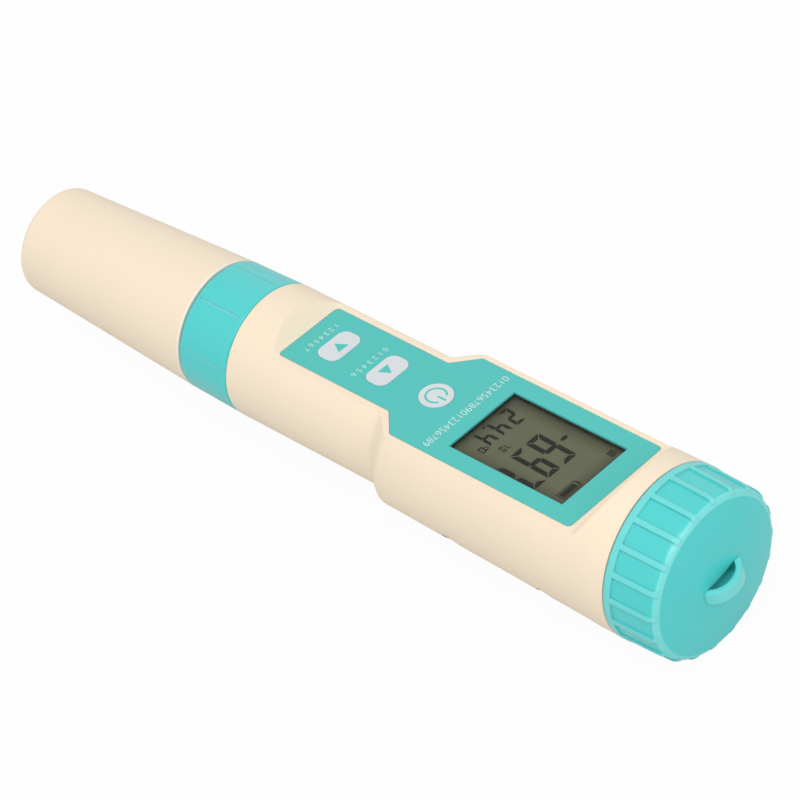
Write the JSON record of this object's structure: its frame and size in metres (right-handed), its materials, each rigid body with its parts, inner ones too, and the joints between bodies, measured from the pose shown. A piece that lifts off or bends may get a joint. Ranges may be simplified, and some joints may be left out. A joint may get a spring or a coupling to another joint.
{
  "type": "water quality test pen",
  "caption": "Pocket water tester: flat key face with display on a round body, plug-in electrode under a screw collar, slip-on probe cap and ribbed screw battery cap with a lanyard arch.",
  "frame": {"origin": "middle of the footprint with the pen lying on its back: X=0 half way along the pen, Y=0 the plane of symmetry, Z=0 the lowest point", "axes": "+X along the pen towards the battery cap, +Z out of the key face"},
  "size_m": [0.19, 0.038, 0.038],
  "materials": {
    "shell_beige": "fine satin moulding texture",
    "trim_teal": "soft satin",
    "film_teal": "smooth printed film",
    "key_grey": "smooth printed film",
    "window_clear": "clear, polished",
    "lcd_olive": "reflective display, gloss",
    "backlight_white": "satin",
    "strip_rubber": "matt",
    "frame_black": "matt",
    "board_green": "solder mask gloss",
    "chip_black": "matt",
    "screw_steel": "zinc plated",
    "contact_metal": "nickel plated",
    "pin_gold": "gold plated",
    "cell_metal": "bare metal jacket",
    "cradle_black": "matt",
    "probe_blue": "satin",
    "bulb_glass": "blown glass",
    "sensor_steel": "polished",
    "junction_white": "porous",
    "seal_rubber": "satin",
    "liner_grey": "satin",
    "sponge_yellow": "open cell foam"
  },
  "bodies": {
    "housing": {"housing_shell": "shell_beige", "rear_cover": "shell_beige", "cover_screws": "screw_steel", "face_film": "film_teal", "display_window": "window_clear", "lcd_glass": "lcd_olive", "backlight": "backlight_white", "contact_strips": "strip_rubber", "display_frame": "frame_black", "main_board": "board_green", "board_screws": "screw_steel", "tact_switches": "chip_black", "board_components": "chip_black", "electrode_socket": "cradle_black", "socket_board": "board_green", "board_link": "chip_black", "battery_cradle": "cradle_black", "battery_cells": "cell_metal", "cradle_contacts": "contact_metal"},
    "down_key": {"down_key": "key_grey"},
    "up_key": {"up_key": "key_grey"},
    "power_key": {"power_key": "key_grey"},
    "electrode": {"electrode_body": "probe_blue", "seal_rings": "seal_rubber", "plug_pins": "pin_gold", "glass_bulb": "bulb_glass", "conductivity_pins": "sensor_steel", "temperature_sensor": "sensor_steel", "reference_junction": "junction_white"},
    "collar": {"collar_nut": "trim_teal"},
    "probe_cap": {"cap_sleeve": "shell_beige", "cap_liner": "liner_grey", "soaking_sponge": "sponge_yellow"},
    "cap_gasket": {"cap_gasket": "seal_rubber"},
    "battery_cap": {"battery_cap": "trim_teal", "contact_carrier": "cradle_black", "cap_contact": "contact_metal"}
  },
  "joints": [
    {"name": "down_key_press", "type": "slide", "parent": "housing", "child": "down_key", "axis": [0, 0, -1], "range_m": [0, 0.0004], "stiffness_N_per_m": 1500},
    {"name": "up_key_press", "type": "slide", "parent": "housing", "child": "up_key", "axis": [0, 0, -1], "range_m": [0, 0.0004], "stiffness_N_per_m": 1500},
    {"name": "power_key_press", "type": "slide", "parent": "housing", "child": "power_key", "axis": [0, 0, -1], "range_m": [0, 0.0004], "stiffness_N_per_m": 1500},
    {"name": "electrode_travel", "type": "slide", "parent": "housing", "child": "electrode", "axis": [-1, 0, 0], "range_m": [0, 0.009]},
    {"name": "collar_turn", "type": "hinge", "parent": "electrode", "child": "collar", "pos_m": [-0.037, 0, 0.019], "axis": [-1, 0, 0], "range_deg": [0, 1080]},
    {"name": "probe_cap_pull", "type": "slide", "parent": "electrode", "child": "probe_cap", "axis": [-1, 0, 0], "range_m": [0, 0.055]},
    {"name": "cap_travel", "type": "slide", "parent": "housing", "child": "cap_gasket", "axis": [1, 0, 0], "range_m": [0, 0.009]},
    {"name": "cap_turn", "type": "hinge", "parent": "cap_gasket", "child": "battery_cap", "pos_m": [0.083, 0, 0.019], "axis": [1, 0, 0], "range_deg": [0, 1080]}
  ],
  "couplings": [
    {"joint": "collar_turn", "follows": "electrode_travel", "rad_per_m": 2094.4},
    {"joint": "cap_turn", "follows": "cap_travel", "rad_per_m": 2094.4}
  ]
}
